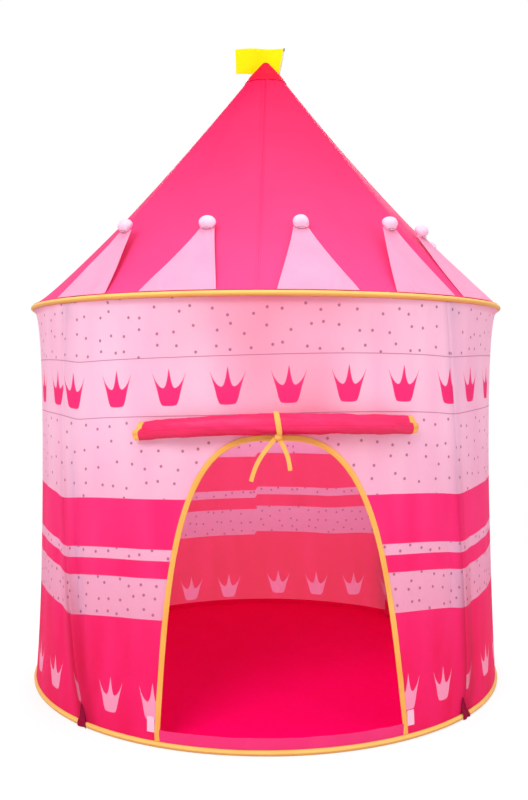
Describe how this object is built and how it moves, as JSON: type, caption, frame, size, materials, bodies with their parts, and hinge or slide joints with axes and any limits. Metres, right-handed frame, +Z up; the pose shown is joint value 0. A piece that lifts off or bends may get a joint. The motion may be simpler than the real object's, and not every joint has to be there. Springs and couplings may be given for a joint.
{
  "type": "play tent",
  "caption": "Round castle play tent with sprung hoops, corner poles, printed cloth walls, cone roof with folding pennants, a swivelling flag and an arched doorway with a roll-up door.",
  "frame": {"origin": "middle of the ground sheet's underside, on the ground", "axes": "+Z up, the doorway faces -Y, +X to the right of someone who faces the doorway"},
  "size_m": [1.061, 1.0737, 1.4445],
  "materials": {
    "printed_cloth": "thin woven polyester, light pink with printed bands, dots and crowns",
    "roof_cloth": "thin woven polyester, hot pink, slightly glossy",
    "tip_cloth": "doubled woven polyester, red",
    "floor_cloth": "coated woven ground sheet, bright red",
    "edge_tape": "folded satin binding tape, warm yellow",
    "flag_cloth": "woven polyester, bright yellow",
    "spring_steel": "drawn spring wire",
    "pole_plastic": "glass fibre rod, satin",
    "socket_plastic": "moulded plastic, matte"
  },
  "bodies": {
    "root": {"apex_hub": "socket_plastic", "bottom_hoop": "spring_steel", "bottom_hoop_casing": "edge_tape", "door_binding": "edge_tape", "door_curtain": "roof_cloth", "door_sill": "roof_cloth", "flag_stick": "pole_plastic", "floor_sheet": "floor_cloth", "foot_pocket_front_left": "socket_plastic", "foot_pocket_front_right": "socket_plastic", "foot_pocket_rear_left": "socket_plastic", "foot_pocket_rear_right": "socket_plastic", "pole_elbow_front_left": "socket_plastic", "pole_elbow_front_right": "socket_plastic", "pole_elbow_rear_left": "socket_plastic", "pole_elbow_rear_right": "socket_plastic", "roof_front_left": "roof_cloth", "roof_front_right": "roof_cloth", "roof_pole_front_left": "pole_plastic", "roof_pole_front_right": "pole_plastic", "roof_pole_rear_left": "pole_plastic", "roof_pole_rear_right": "pole_plastic", "roof_rear_left": "roof_cloth", "roof_rear_right": "roof_cloth", "roof_tip": "tip_cloth", "tie_knot": "edge_tape", "tie_strap": "edge_tape", "tie_tail_long": "edge_tape", "tie_tail_short": "edge_tape", "top_hoop": "spring_steel", "top_hoop_casing": "edge_tape", "wall_back": "printed_cloth", "wall_front": "printed_cloth", "wall_left": "printed_cloth", "wall_pole_front_left": "pole_plastic", "wall_pole_front_right": "pole_plastic", "wall_pole_rear_left": "pole_plastic", "wall_pole_rear_right": "pole_plastic", "wall_right": "printed_cloth"},
    "rolled_door": {"door_roll": "roof_cloth", "door_edge_binding_left": "edge_tape", "door_edge_binding_right": "edge_tape"},
    "flag": {"flag": "flag_cloth"},
    "pennant_01": {"pennant_01": "printed_cloth"},
    "pennant_02": {"pennant_02": "printed_cloth"},
    "pennant_03": {"pennant_03": "printed_cloth"},
    "pennant_04": {"pennant_04": "printed_cloth"},
    "pennant_05": {"pennant_05": "printed_cloth"},
    "pennant_06": {"pennant_06": "printed_cloth"},
    "pennant_07": {"pennant_07": "printed_cloth"},
    "pennant_08": {"pennant_08": "printed_cloth"},
    "pennant_09": {"pennant_09": "printed_cloth"},
    "pennant_10": {"pennant_10": "printed_cloth"},
    "pennant_11": {"pennant_11": "printed_cloth"},
    "pennant_12": {"pennant_12": "printed_cloth"}
  },
  "joints": [
    {"name": "door_let_down", "type": "slide", "parent": "root", "child": "rolled_door", "axis": [0, -0.04, -0.9992], "range_m": [0, 0.535], "deforming": ["door_curtain", "tie_strap", "tie_knot", "tie_tail_long", "tie_tail_short"]},
    {"name": "flag_swivel", "type": "hinge", "parent": "root", "child": "flag", "pos_m": [0.02816, 0.03737, 1.35337], "axis": [0.1908, 0, 0.9816], "range_deg": [-250, 20]},
    {"name": "pennant_01_fold", "type": "hinge", "parent": "root", "child": "pennant_01", "pos_m": [-0.37654, -0.36764, 0.82905], "axis": [0.6986, -0.7155, 0], "range_deg": [0, 130]},
    {"name": "pennant_02_fold", "type": "hinge", "parent": "root", "child": "pennant_02", "pos_m": [-0.18681, -0.49198, 0.82905], "axis": [0.9349, -0.355, 0], "range_deg": [0, 130]},
    {"name": "pennant_03_fold", "type": "hinge", "parent": "root", "child": "pennant_03", "pos_m": [0.06596, -0.5221, 0.82905], "axis": [0.9921, 0.1253, 0], "range_deg": [0, 130]},
    {"name": "pennant_04_fold", "type": "hinge", "parent": "root", "child": "pennant_04", "pos_m": [0.27803, -0.44681, 0.82905], "axis": [0.849, 0.5283, 0], "range_deg": [0, 130]},
    {"name": "pennant_05_fold", "type": "hinge", "parent": "root", "child": "pennant_05", "pos_m": [0.41176, -0.32771, 0.82905], "axis": [0.6227, 0.7824, 0], "range_deg": [0, 130]},
    {"name": "pennant_06_fold", "type": "hinge", "parent": "root", "child": "pennant_06", "pos_m": [0.52431, -0.04516, 0.82905], "axis": [0.0858, 0.9963, 0], "range_deg": [0, 130]},
    {"name": "pennant_07_fold", "type": "hinge", "parent": "root", "child": "pennant_07", "pos_m": [0.47392, 0.22879, 0.82905], "axis": [-0.4347, 0.9006, 0], "range_deg": [0, 130]},
    {"name": "pennant_08_fold", "type": "hinge", "parent": "root", "child": "pennant_08", "pos_m": [0.29075, 0.43864, 0.82905], "axis": [-0.8335, 0.5525, 0], "range_deg": [0, 130]},
    {"name": "pennant_09_fold", "type": "hinge", "parent": "root", "child": "pennant_09", "pos_m": [0.07639, 0.52068, 0.82905], "axis": [-0.9894, 0.1452, 0], "range_deg": [0, 130]},
    {"name": "pennant_10_fold", "type": "hinge", "parent": "root", "child": "pennant_10", "pos_m": [-0.19156, 0.49015, 0.82905], "axis": [-0.9314, -0.364, 0], "range_deg": [0, 130]},
    {"name": "pennant_11_fold", "type": "hinge", "parent": "root", "child": "pennant_11", "pos_m": [-0.4004, 0.34151, 0.82905], "axis": [-0.6489, -0.7608, 0], "range_deg": [0, 130]},
    {"name": "pennant_12_fold", "type": "hinge", "parent": "root", "child": "pennant_12", "pos_m": [-0.50979, 0.1306, 0.82905], "axis": [-0.2482, -0.9687, 0], "range_deg": [0, 130]}
  ]
}
